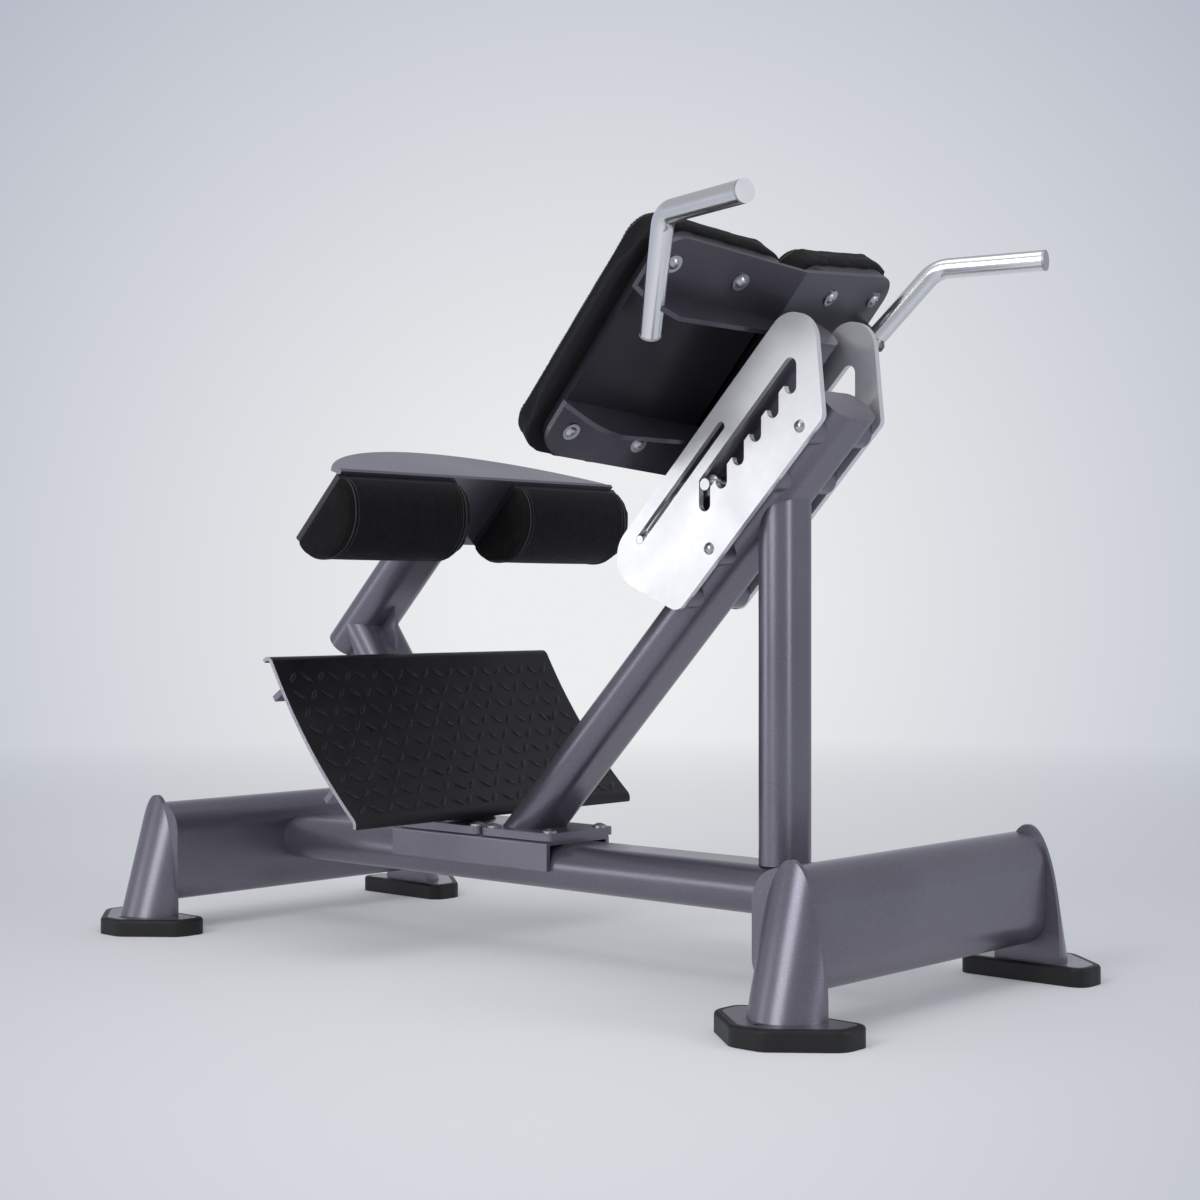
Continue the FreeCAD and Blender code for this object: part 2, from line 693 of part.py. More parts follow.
def handle_path(start_trim, end_trim):
    """Centre line of the right-hand handle: two straight runs and one bend."""
    foot, elbow, end = handle_points()
    back = (foot - elbow).normalize()
    ahead = (end - elbow).normalize()
    half = back.getAngle(ahead) / 2
    reach = handle_bend / math.tan(half)
    middle = elbow + (back + ahead).normalize() * (handle_bend / math.sin(half) - handle_bend)
    foot = foot - back * start_trim
    end = end - ahead * end_trim
    bend_in = elbow + back * reach
    bend_out = elbow + ahead * reach
    edges = [Part.LineSegment(foot, bend_in).toShape(), Part.Arc(bend_in, middle, bend_out).toShape(),
             Part.LineSegment(bend_out, end).toShape()]
    return Part.Wire(edges), foot, bend_in - foot


def handle_bar(radius, start_trim, end_trim):
    """Solid bar that follows the handle's centre line."""
    path, foot, heading = handle_path(start_trim, end_trim)
    ring = Part.Wire(Part.Circle(foot, heading, radius).toShape())
    return path.makePipeShell([ring], True, False)


def hip_pads():
    """Cradles, boards, pads, handles and their fasteners on the carriage."""
    bar = handle_bar(handle_radius, 0, 0)
    bars = together([bar, mirrored(bar)])
    plate = cradle_plate
    upper = cradle(upper_cradle_edge, upper_cradle_edge, board_high, True, upper_cradle_round)
    lower = cradle(lower_cradle_edge - plate, board_low, lower_cradle_edge, False, lower_cradle_round)
    bolts, washers = bed_bolts(plate + board_thick)
    bolt_set = together([on_carriage(bolts), on_carriage(mirrored_across(bolts))])
    nodes["cradle_upper"] = main_solid(on_carriage(upper).cut(bars).cut(bolt_set))
    nodes["cradle_lower"] = main_solid(on_carriage(lower).cut(bolt_set))
    board = bed_piece(board_low, board_high, board_inner, board_outer, board_corner, board_thick, plate, 0)
    pad = bed_piece(board_low - pad_overhang_low, board_high + pad_overhang_high, pad_gap_half, pad_outer,
                    pad_corner, pad_thick, plate + board_thick, pad_edge_round)
    board = on_carriage(board)
    both("pad_board", main_solid(board.cut(bolt_set)))
    both("hip_pad", on_carriage(pad))
    nodes["cradle_bolts"] = bolt_set
    nodes["cradle_washers"] = together([on_carriage(washers), on_carriage(mirrored_across(washers))])
    cap = handle_cap
    tube = handle_bar(handle_radius, cap, cap).cut(handle_bar(handle_radius - handle_wall, cap, cap))
    both("handle", main_solid(tube))
    foot, elbow, end = handle_points()
    low_cap = rod(foot, foot + (elbow - foot).normalize() * cap, handle_radius)
    high_cap = rod(end, end + (elbow - end).normalize() * cap, handle_radius)
    pair("handle_caps", together([low_cap, high_cap]))


def mirrored_across(shape):
    """Mirror image, still in (along, across, off), on the other side of the middle plane."""
    return shape.mirror(V(0, 0, 0), V(0, 1, 0))


# ---- calf support ----
calf_origin = V(0, calf_web_low[0], calf_web_low[1])


def on_calf(shape):
    """Move a shape from (along, across, off the web's front face) to the calf support."""
    return tilted(shape, calf_origin, calf_tilt)


def calf_flange(along):
    """Bracket flange with an arc-shaped rear edge, starting on the web at this place."""
    start = point(calf_origin, calf_tilt, along, 0, 0)
    rise = math.radians(calf_flange_rise)
    rear = V(0, math.cos(rise), math.sin(rise))
    half = calf_half_width
    corners = [start - ACROSS * half, start + ACROSS * half]
    ends = [corner + rear * calf_flange_end for corner in corners]
    apex = start + rear * (calf_flange_depth + calf_plate)
    edges = [Part.LineSegment(corners[0], corners[1]).toShape(),
             Part.LineSegment(corners[1], ends[1]).toShape(),
             Part.Arc(ends[1], apex, ends[0]).toShape(),
             Part.LineSegment(ends[0], corners[0]).toShape()]
    square = V(0, -math.sin(rise), math.cos(rise))
    return Part.Face(Part.Wire(edges)).extrude(square * -calf_plate)


def calf_support():
    """Post, arm, gusset, bracket, boards and pads behind the user's calves."""
    centre = calf_plate + column_half
    arm_axis = V(0, 0, centre)
    full = oval(column_width, column_thick, calf_arm_low, calf_arm_high)
    full.translate(arm_axis)
    tube = oval_tube(column_width, column_thick, column_wall, calf_arm_low + cap_thick, calf_arm_high - cap_thick)
    tube.translate(arm_axis)
    caps = []
    for low in (calf_arm_low, calf_arm_high - cap_thick):
        cap = oval(column_width, column_thick, low, low + cap_thick)
        cap.translate(arm_axis)
        caps.append(on_calf(cap))
    full = on_calf(full)
    nodes["calf_arm"] = on_calf(tube)
    nodes["calf_arm_caps"] = together(caps)

    web = on_calf(Part.makeBox(calf_web_length, 2 * calf_half_width, calf_plate, V(0, -calf_half_width, 0)))
    bracket = web.fuse(calf_flange(0)).fuse(calf_flange(calf_web_length)).removeSplitter()
    front = on_calf(Part.makeBox(3 * calf_web_length, 3 * calf_half_width, calf_web_length,
                                 V(-calf_web_length, -1.5 * calf_half_width, -calf_web_length)))
    bracket = bracket.cut(front).cut(full)
    bolts = []
    pad_middle = (calf_pad_inner + calf_pad_outer) / 2
    spread = (calf_pad_outer - calf_pad_inner) / 4
    for across in (pad_middle - spread, pad_middle + spread):
        bolt = dome_bolt(calf_bolt, calf_plate + calf_board_thick, V(calf_web_length / 2, across, calf_plate), UP)
        bolts += [on_calf(bolt), on_calf(mirrored_across(bolt))]
    bolt_set = together(bolts)
    nodes["calf_bracket"] = main_solid(bracket.cut(bolt_set))
    nodes["calf_bolts"] = bolt_set

    inset = calf_board_inset
    board = Part.makeBox(calf_web_length - 2 * inset, calf_pad_outer - calf_pad_inner - 2 * inset,
                         calf_board_thick, V(inset, calf_pad_inner + inset, -calf_board_thick))
    pair("calf_boards", main_solid(on_calf(board).cut(bolt_set)))
    top = calf_web_length
    back = V(0, calf_pad_inner, -calf_board_thick)
    side = V(0, calf_pad_inner, -calf_pad_side)
    far_side = V(top, calf_pad_inner, -calf_pad_side)
    far_back = V(top, calf_pad_inner, -calf_board_thick)
    crown = V(top / 2, calf_pad_inner, -calf_pad_depth)
    edges = [Part.LineSegment(far_back, back).toShape(), Part.LineSegment(back, side).toShape(),
             Part.Arc(side, crown, far_side).toShape(), Part.LineSegment(far_side, far_back).toShape()]
    pad = Part.Face(Part.Wire(edges)).extrude(V(0, calf_pad_outer - calf_pad_inner, 0))
    both("calf_pad", on_calf(pad))

    post_slant = 180 - post_slope
    head = V(0, post_top[0], post_top[1])
    run, rise = directions(post_slant)
    length = (post_top[1] - flange_top_z) / run.z
    post_full = tilted(oval(column_width, column_thick, -length - column_thick, column_half), head, post_slant)
    post = tilted(oval_tube(column_width, column_thick, column_wall, -length - column_thick, column_half),
                  head, post_slant)
    under = below(flange_top_z)
    post = post.cut(full).cut(under)
    nodes["calf_post"] = main_solid(post)
    post_full = main_solid(post_full.cut(full).cut(under))

    arm_line = calf_web_low[0] + calf_web_low[1] + calf_plate * math.sqrt(2)
    reach = gusset_reach
    wedge = side_slab([(gusset_y, arm_line - gusset_y), (gusset_y + reach, arm_line - gusset_y - reach),
                       (gusset_y, arm_line - gusset_y - reach)], 0, -gusset_thick / 2, gusset_thick / 2)
    pieces = wedge.cut(post_full).cut(full).Solids
    nodes["calf_gusset"] = min(pieces, key=lambda solid: solid.CenterOfMass.y)
    return post_full


# ---- foot plate ----
def polar(centre, radius, degrees):
    """(y, z) at an angle from +Y about a centre."""
    angle = math.radians(degrees)
    return centre[0] + radius * math.cos(angle), centre[1] + radius * math.sin(angle)


def arc_edge(centre, radius, start, end, x):
    """Arc in a plane across X, between two angles about a centre."""
    places = [polar(centre, radius, angle) for angle in (start, (start + end) / 2, end)]
    return Part.Arc(*[V(x, y, z) for y, z in places]).toShape()


def tread_profile():
    """Closed profile of the bent sheet: a shallow arc between two rolled lips."""
    x = -tread_half_width
    outer = lip_radius + tread_thick
    back = tread_radius + tread_thick
    low = polar(tread_centre, back + lip_radius, tread_low_angle)
    high = polar(tread_centre, back + lip_radius, tread_high_angle)
    low_in = tread_low_angle + 180
    high_in = tread_high_angle + 180
    low_out = low_in + lip_turn_low
    high_out = high_in - lip_turn_high
    ends = [polar(low, outer, low_out), polar(low, lip_radius, low_out),
            polar(high, outer, high_out), polar(high, lip_radius, high_out)]
    corners = [V(x, y, z) for y, z in ends]
    edges = [arc_edge(low, outer, low_out, low_in, x),
             arc_edge(tread_centre, tread_radius, tread_low_angle, tread_high_angle, x),
             arc_edge(high, outer, high_in, high_out, x),
             Part.LineSegment(corners[2], corners[3]).toShape(),
             arc_edge(high, lip_radius, high_out, high_in, x),
             arc_edge(tread_centre, back, tread_high_angle, tread_low_angle, x),
             arc_edge(low, lip_radius, low_in, low_out, x),
             Part.LineSegment(corners[1], corners[0]).toShape()]
    return Part.Face(Part.Wire(edges))


def foot_plate(post_full):
    """Curved tread sheet, the bars behind it, the struts to the post and the bolts."""
    back = tread_radius + tread_thick
    sheet = tread_profile().extrude(V(2 * tread_half_width, 0, 0))
    drum = cross_rod(-tread_half_width, tread_half_width, tread_centre[0], tread_centre[1], back)
    bars = []
    for angle, reach in zip(bar_angles, bar_half_lengths):
        radial = math.radians(angle)
        out = (math.cos(radial), math.sin(radial))
        along = (-out[1] * bar_thick / 2, out[0] * bar_thick / 2)
        near = polar(tread_centre, back - 2, angle)
        far = polar(tread_centre, back + bar_depth, angle)
        section = [(near[0] - along[0], near[1] - along[1]), (far[0] - along[0], far[1] - along[1]),
                   (far[0] + along[0], far[1] + along[1]), (near[0] + along[0], near[1] + along[1])]
        bar = side_slab(section, 0, -reach, reach).cut(drum)
        bars += bar.cut(post_full).Solids
    bolts = []
    for x in tread_bolt_x:
        inner = polar(tread_centre, tread_radius + tread_bolt_sunk, bar_angles[1])
        outer = polar(tread_centre, back + bar_depth / 2, bar_angles[1])
        mouth = polar(tread_centre, tread_radius - tread_thick, bar_angles[1])
        bolts.append(rod(V(x, *inner), V(x, *outer), tread_bolt_radius))
        sheet = sheet.cut(rod(V(x, *mouth), V(x, *outer), tread_hole_radius))
    nodes["foot_plate"] = main_solid(sheet)
    nodes["foot_plate_bars"] = together([main_solid(bar.cut(together(bolts))) for bar in bars])
    nodes["foot_plate_bolts"] = together(bolts)
    behind = back + bar_depth
    inner = [polar(tread_centre, behind, angle) for angle in
             (bar_angles[0] - strut_past_bars, bar_angles[2] + strut_past_bars)]
    run = directions(180 - post_slope)[0]
    axis_low = (post_top[0] - run.y * strut_low, post_top[1] - run.z * strut_low)
    axis_high = (post_top[0] - run.y * strut_high, post_top[1] - run.z * strut_high)
    strut = side_slab([inner[0], axis_low, axis_high, inner[1]], 0, strut_x, strut_x + strut_thick)
    behind_bars = cross_rod(-tread_half_width, tread_half_width, tread_centre[0], tread_centre[1], behind)
    strut = main_solid(strut.cut(post_full).cut(behind_bars))
    pair("foot_plate_struts", strut)


# ---- build and write ----
spine_blank = base()
saddle_and_flanges(spine_blank)
columns()
carriage_tube()
ratchet_link()
hip_pads()
foot_plate(calf_support())

os.makedirs("parts", exist_ok=True)
for name, shape in nodes.items():
    if not shape.isValid() or shape.Volume <= 0:
        print("check", name, shape.ShapeType, shape.isValid())
    shape.exportStep("parts/" + name + ".step")
print(len(nodes), "nodes, travel", travel, "slot", tuple(round(value, 2) for value in slot_point),
      "pivot", tuple(round(value, 2) for value in pivot_point))
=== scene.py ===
# %% [markdown]
# # Roman chair: looks
#
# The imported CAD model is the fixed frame. Steel parts keep their CAD meshes and get procedural
# materials; the four pads are rebuilt as stuffed pieces; the foot plate gets its raised lugs.
# Metres, with Z up. X is across and -Y is the way the user faces.

import math

import bpy
import numpy as np
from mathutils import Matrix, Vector
from mathutils.bvhtree import BVHTree


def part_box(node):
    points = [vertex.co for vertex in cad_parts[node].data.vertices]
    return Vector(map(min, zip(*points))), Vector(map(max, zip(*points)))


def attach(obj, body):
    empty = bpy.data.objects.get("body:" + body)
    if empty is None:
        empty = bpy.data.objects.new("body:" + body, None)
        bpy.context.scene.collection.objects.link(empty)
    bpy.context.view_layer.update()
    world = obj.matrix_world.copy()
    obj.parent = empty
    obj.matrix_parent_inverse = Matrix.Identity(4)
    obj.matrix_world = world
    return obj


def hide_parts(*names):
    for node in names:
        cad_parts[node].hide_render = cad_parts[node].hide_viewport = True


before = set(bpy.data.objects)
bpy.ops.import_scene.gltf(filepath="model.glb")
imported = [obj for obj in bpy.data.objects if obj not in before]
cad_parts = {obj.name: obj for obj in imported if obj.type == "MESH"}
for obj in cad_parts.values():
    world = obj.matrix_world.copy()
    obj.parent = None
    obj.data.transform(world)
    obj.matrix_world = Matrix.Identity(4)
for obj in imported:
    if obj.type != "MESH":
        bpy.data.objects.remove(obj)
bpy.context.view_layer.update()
scene = bpy.context.scene
print(len(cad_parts), "CAD pieces")

# %% [markdown]
# ## From arrays to meshes
#
# Every new mesh is a numpy array of points and an array of faces. Whole arrays are quicker to make
# than single vertices, and the formula stays in sight. A grid that closes around itself gives tubes
# and lugs with no open edge.

# %% Mesh helpers
def link_mesh(name, mesh):
    """Object at the origin that shows a mesh."""
    made = bpy.data.objects.new(name, mesh)
    scene.collection.objects.link(made)
    return made


def make_object(name, points, faces):
    """Smooth-shaded mesh object at the origin."""
    mesh = bpy.data.meshes.new(name)
    mesh.from_pydata(np.asarray(points).tolist(), [], np.asarray(faces).tolist())
    mesh.polygons.foreach_set("use_smooth", np.ones(len(mesh.polygons), bool))
    mesh.update()
    return link_mesh(name, mesh)


def grid_quads(rows, columns, around_rows):
    """Quads of a rows x columns grid that closes around its columns, and around its rows if asked."""
    last = rows if around_rows else rows - 1
    row, column = np.meshgrid(np.arange(last), np.arange(columns), indexing="ij")
    below = (row + 1) % rows
    beside = (column + 1) % columns
    corners = [row * columns + column, row * columns + beside,
               below * columns + beside, below * columns + column]
    return np.stack(corners, axis=-1).reshape(-1, 4)


def unit(vectors):
    """Vectors scaled to length 1."""
    vectors = np.asarray(vectors, float)
    return vectors / np.linalg.norm(vectors, axis=-1, keepdims=True)


print("a grid of 3 rings of 8 points has", len(grid_quads(3, 8, False)), "faces")

# %% [markdown]
# ## Building blocks for shaders
#
# A material is a small graph of nodes. These helpers each add one node and wire its inputs, so that
# a finish reads as a list of steps. Patterns use object coordinates, which are metres in the
# machine's own frame, so the grain has the same scale on every piece.

# %% Node helpers
def add(tree, kind, attributes=None, inputs=None):
    """New shader node; an input is given a value or another node's output."""
    made = tree.nodes.new("ShaderNode" + kind)
    for key, value in (attributes or {}).items():
        setattr(made, key, value)
    for key, value in (inputs or {}).items():
        if isinstance(value, bpy.types.NodeSocket):
            tree.links.new(value, made.inputs[key])
        else:
            made.inputs[key].default_value = value
    return made


def new_group(name, inputs, outputs):
    """Empty shader group with its sockets: returns the tree, its input node and its output node."""
    tree = bpy.data.node_groups.new(name, "ShaderNodeTree")
    for label, kind, value in inputs:
        socket = tree.interface.new_socket(name=label, in_out="INPUT", socket_type="NodeSocket" + kind)
        if value is not None:
            socket.default_value = value
    for label, kind in outputs:
        tree.interface.new_socket(name=label, in_out="OUTPUT", socket_type="NodeSocket" + kind)
    print("shader group", name)
    return tree, tree.nodes.new("NodeGroupInput"), tree.nodes.new("NodeGroupOutput")


def noise(tree, vector, scale, detail=3.0, distortion=0.0):
    """Noise value at a scale in features per metre."""
    made = add(tree, "TexNoise", None, {"Vector": vector, "Scale": scale, "Detail": detail,
                                        "Distortion": distortion})
    return made.outputs["Fac"]


def math_node(tree, operation, first, second=0.5):
    """One arithmetic step."""
    return add(tree, "Math", {"operation": operation}, {0: first, 1: second}).outputs[0]


def vector_node(tree, operation, inputs, result=0):
    """One step of vector arithmetic."""
    return add(tree, "VectorMath", {"operation": operation}, inputs).outputs[result]


def fit(tree, value, low, high, new_low, new_high):
    """Value remapped from one range to another and clamped."""
    inputs = {0: value, 1: low, 2: high, 3: new_low, 4: new_high}
    return add(tree, "MapRange", None, inputs).outputs[0]


def bump(tree, height, strength, distance):
    """Normal from a height."""
    return add(tree, "Bump", None, {"Height": height, "Strength": strength, "Distance": distance}).outputs[0]


def mix_colour(tree, amount, first, second):
    """Colour between two colours."""
    made = add(tree, "Mix", {"data_type": "RGBA"}, {0: amount})
    for index, value in ((6, first), (7, second)):
        if isinstance(value, bpy.types.NodeSocket):
            tree.links.new(value, made.inputs[index])
        else:
            made.inputs[index].default_value = (*value, 1.0)
    return made.outputs[2]


def start_material(name, group, group_inputs=None):
    """New material: its tree, its Principled node and the group fed with object coordinates."""
    made = bpy.data.materials.new(name)
    made.use_nodes = True
    tree = made.node_tree
    shader = tree.nodes["Principled BSDF"]
    place = add(tree, "TexCoord").outputs["Object"]
    effect = tree.nodes.new("ShaderNodeGroup")
    effect.node_tree = group
    tree.links.new(place, effect.inputs["Vector"])
    for key, value in (group_inputs or {}).items():
        effect.inputs[key].default_value = value
    tree.links.new(effect.outputs["Normal"], shader.inputs["Normal"])
    return made, tree, shader, effect


MATERIALS = {}

# %% [markdown]
# ## Frame paint
#
# The frame wears a grey-violet metallic paint under a satin clear coat. A flat colour would look like
# plastic, so one group gives single sparkling flakes, a slow cloudiness and a faint orange peel, all
# worked out from position. The paints differ in their colours and in how metallic and rough they are;
# the board and cradle paints are the frame's paint made darker, a painted shade.

# %% Paint
def flake_group():
    """Metallic paint: sparkle of single flakes, slow cloudiness and a faint orange-peel normal."""
    tree, given, result = new_group("paint_flake", [("Vector", "Vector", None), ("Flakes", "Float", 2600.0)],
                                    [("Sparkle", "Float"), ("Cloud", "Float"), ("Normal", "Vector")])
    vector = given.outputs["Vector"]
    cells = add(tree, "TexVoronoi", None, {"Vector": vector, "Scale": given.outputs["Flakes"]})
    shade = add(tree, "SeparateColor", None, {0: cells.outputs["Color"]}).outputs[0]
    peel = noise(tree, vector, 420.0, 1.0)
    tree.links.new(fit(tree, shade, 0.55, 1.0, 0.0, 1.0), result.inputs["Sparkle"])
    tree.links.new(noise(tree, vector, 6.0, 4.0), result.inputs["Cloud"])
    tree.links.new(bump(tree, peel, 0.05, 0.0004), result.inputs["Normal"])
    return tree


PAINT_FLAKE = flake_group()


def paint(name, deep, bright, metallic, rough, coat):
    """Metallic paint under a satin clear coat."""
    made, tree, shader, effect = start_material(name, PAINT_FLAKE)
    body = mix_colour(tree, fit(tree, effect.outputs["Cloud"], 0.35, 0.65, 0.25, 0.75), deep, bright)
    glint = tuple(min(1.0, 2.2 * value) for value in bright)
    sparkle = math_node(tree, "MULTIPLY", effect.outputs["Sparkle"], 0.35)
    roughness = fit(tree, effect.outputs["Cloud"], 0.3, 0.7, rough - 0.04, rough + 0.05)
    tree.links.new(mix_colour(tree, sparkle, body, glint), shader.inputs["Base Color"])
    tree.links.new(roughness, shader.inputs["Roughness"])
    shader.inputs["Metallic"].default_value = metallic
    shader.inputs["Coat Weight"].default_value = coat
    shader.inputs["Coat Roughness"].default_value = 0.22
    MATERIALS[name] = made


paint("frame_paint", (0.142, 0.133, 0.168), (0.196, 0.185, 0.226), 0.72, 0.34, 0.25)
# The board and the cradles wear the frame's paint made darker: a painted shade for the shadow they lie in.
paint("board", (0.018, 0.0165, 0.023), (0.028, 0.026, 0.035), 0.45, 0.40, 0.15)
paint("cradle_shaded_paint", (0.062, 0.058, 0.074), (0.084, 0.079, 0.098), 0.60, 0.36, 0.2)
print("paints", list(MATERIALS))

# %% [markdown]
# ## Bare metal
#
# The side plates are pale satin steel and the handles are polished. Both are the same surface at
# different roughness: fine scratches, and smudges that make the shine uneven.

# %% Metal
def brushed_group():
    """Brushed metal: fine scratches, drawn out by the stretch of the vector."""
    tree, given, result = new_group("brushed", [("Vector", "Vector", None),
                                                ("Stretch", "Vector", (900.0, 40.0, 40.0))],
                                    [("Scratch", "Float"), ("Smudge", "Float"), ("Normal", "Vector")])
    vector = given.outputs["Vector"]
    stretched = vector_node(tree, "MULTIPLY", {0: vector, 1: given.outputs["Stretch"]})
    scratch = noise(tree, stretched, 1.0, 3.0)
    tree.links.new(scratch, result.inputs["Scratch"])
    tree.links.new(noise(tree, vector, 14.0, 5.0, 0.6), result.inputs["Smudge"])
    tree.links.new(bump(tree, scratch, 0.03, 0.0002), result.inputs["Normal"])
    return tree


BRUSHED = brushed_group()


def metal(name, colour, metallic, rough, stretch):
    """Brushed or polished uncoated metal, with its grain drawn out by the same stretch in X, Y and Z."""
    made, tree, shader, effect = start_material(name, BRUSHED, {"Stretch": (stretch, stretch, stretch)})
    dark = tuple(0.95 * value for value in colour)
    tint = mix_colour(tree, fit(tree, effect.outputs["Scratch"], 0.3, 0.7, 0.0, 1.0), dark, colour)
    roughness = fit(tree, effect.outputs["Smudge"], 0.3, 0.7, rough - 0.03, rough + 0.04)
    tree.links.new(tint, shader.inputs["Base Color"])
    tree.links.new(roughness, shader.inputs["Roughness"])
    shader.inputs["Metallic"].default_value = metallic
    MATERIALS[name] = made


metal("cap_steel", (0.52, 0.52, 0.54), 0.9, 0.48, 300.0)
metal("plate_steel", (0.82, 0.82, 0.84), 0.72, 0.36, 90.0)
metal("handle_chrome", (0.90, 0.90, 0.91), 1.0, 0.20, 900.0)
metal("fastener_steel", (0.56, 0.56, 0.60), 1.0, 0.30, 500.0)
print("with the metals", len(MATERIALS), "materials")

# %% [markdown]
# ## Rubber, plastic and black sheet
#
# The feet, the glide block and the foot plate share a fine pebble with a patchy dull film. The foot
# plate's two side edges are painted pale and metallic, a painted highlight for the shine of their cut
# faces, which is a mask on the distance from the middle plane.

# %% Moulded and coated black
TREAD_BLACK = (0.0042, 0.0038, 0.0060)
# Pale metallic colour of the painted highlight along the foot plate's cut edges.
EDGE_HIGHLIGHT_COLOUR = (0.40, 0.39, 0.43)


def speckle_group():
    """Moulded or cast surface: fine pebble, with a patchy dull film."""
    tree, given, result = new_group("speckle", [("Vector", "Vector", None), ("Scale", "Float", 1400.0)],
                                    [("Pebble", "Float"), ("Film", "Float"), ("Normal", "Vector")])
    vector = given.outputs["Vector"]
    pebble = noise(tree, vector, given.outputs["Scale"], 2.0)
    tree.links.new(pebble, result.inputs["Pebble"])
    tree.links.new(noise(tree, vector, 18.0, 5.0, 0.5), result.inputs["Film"])
    tree.links.new(bump(tree, pebble, 0.25, 0.0004), result.inputs["Normal"])
    return tree


SPECKLE = speckle_group()


def moulded(name, colour, rough, scale, specular=0.5):
    """Rubber, plastic or black-coated steel."""
    made, tree, shader, effect = start_material(name, SPECKLE, {"Scale": scale})
    pale = tuple(value * 1.9 + 0.004 for value in colour)
    tint = mix_colour(tree, fit(tree, effect.outputs["Film"], 0.45, 0.75, 0.0, 0.6), colour, pale)
    roughness = fit(tree, effect.outputs["Film"], 0.3, 0.7, rough - 0.06, rough + 0.08)
    tree.links.new(tint, shader.inputs["Base Color"])
    tree.links.new(roughness, shader.inputs["Roughness"])
    shader.inputs["Specular IOR Level"].default_value = specular
    MATERIALS[name] = made
    return tree, shader


def tread_sheet():
    """Black tread sheet whose two cut edges are painted pale and metallic: a painted highlight for their
    shine.
    """
    tree, shader = moulded("tread_sheet", TREAD_BLACK, 0.38, 1800.0, 0.40)
    place = add(tree, "TexCoord").outputs["Object"]
    across = math_node(tree, "ABSOLUTE", add(tree, "SeparateXYZ", None, {0: place}).outputs[0])
    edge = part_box("foot_plate")[1].x
    # Near each cut edge the black turns pale and metallic: a painted highlight for the edge's shine.
    edge_highlight_mask = fit(tree, across, edge - 0.0008, edge - 0.0002, 0.0, 1.0)
    coat = shader.inputs["Base Color"].links[0].from_socket
    tree.links.new(mix_colour(tree, edge_highlight_mask, coat, EDGE_HIGHLIGHT_COLOUR), shader.inputs["Base Color"])
    tree.links.new(edge_highlight_mask, shader.inputs["Metallic"])


moulded("tread_black", TREAD_BLACK, 0.36, 1800.0, 0.45)
tread_sheet()
moulded("rubber", (0.0065, 0.0065, 0.0072), 0.50, 1100.0, 0.4)
moulded("fastener_black", (0.012, 0.012, 0.013), 0.35, 1500.0)
moulded("glide_plastic", (0.020, 0.020, 0.022), 0.45, 900.0)
print("with the moulded blacks", len(MATERIALS), "materials")

# %% [markdown]
# ## Pad covers
#
# The hip pads wear a black leatherette and the calf pads a softer ribbed cover. Both are very dark,
# so their relief shows mainly in the sheen. The leather's cells are nudged by noise to make them
# uneven; the ribs are a sine wave across the machine, swayed a little.

# %% Covers
def grain_group():
    """Leatherette: small rounded cells of uneven size, with creases between them."""
    tree, given, result = new_group("leather_grain", [("Vector", "Vector", None), ("Cells", "Float", 620.0),
                                                      ("Strength", "Float", 0.5)],
                                    [("Crease", "Float"), ("Wear", "Float"), ("Normal", "Vector")])
    vector = given.outputs["Vector"]
    offset = add(tree, "TexNoise", None, {"Vector": vector, "Scale": 300.0, "Detail": 2.0}).outputs["Color"]
    nudge = vector_node(tree, "SCALE", {0: offset, "Scale": 0.0016})
    moved = vector_node(tree, "ADD", {0: vector, 1: nudge})
    cells = add(tree, "TexVoronoi", {"feature": "DISTANCE_TO_EDGE"},
                {"Vector": moved, "Scale": given.outputs["Cells"]})
    crease = fit(tree, cells.outputs["Distance"], 0.0, 0.22, 0.0, 1.0)
    fine = math_node(tree, "MULTIPLY", noise(tree, vector, 2400.0, 2.0), 0.25)
    total = math_node(tree, "ADD", crease, fine)
    tree.links.new(crease, result.inputs["Crease"])
    tree.links.new(noise(tree, vector, 9.0, 4.0, 0.4), result.inputs["Wear"])
    tree.links.new(bump(tree, total, given.outputs["Strength"], 0.0006), result.inputs["Normal"])
    return tree


def rib_group():
    """Ribbed cover: soft ridges that run around the bar, a little wavy, with a fibre grain on them."""
    tree, given, result = new_group("cover_ribs", [("Vector", "Vector", None), ("Pitch", "Float", 0.0042)],
                                    [("Ridge", "Float"), ("Fibre", "Float"), ("Normal", "Vector")])
    vector = given.outputs["Vector"]
    across = add(tree, "SeparateXYZ", None, {0: vector}).outputs[0]
    wander = math_node(tree, "SUBTRACT", noise(tree, vector, 34.0, 3.0), 0.5)
    sway = math_node(tree, "MULTIPLY", wander, 0.006)
    place = math_node(tree, "DIVIDE", math_node(tree, "ADD", across, sway), given.outputs["Pitch"])
    wave = math_node(tree, "SINE", math_node(tree, "MULTIPLY", place, 2 * math.pi))
    depth = fit(tree, noise(tree, vector, 60.0, 3.0), 0.3, 0.7, 0.25, 1.0)
    ridge = math_node(tree, "MULTIPLY", fit(tree, wave, -1.0, 1.0, 0.0, 1.0), depth)
    fibre = noise(tree, vector, 1500.0, 4.0)
    total = math_node(tree, "ADD", ridge, math_node(tree, "MULTIPLY", fibre, 0.5))
    tree.links.new(ridge, result.inputs["Ridge"])
    tree.links.new(fibre, result.inputs["Fibre"])
    tree.links.new(bump(tree, total, 0.65, 0.0012), result.inputs["Normal"])
    return tree


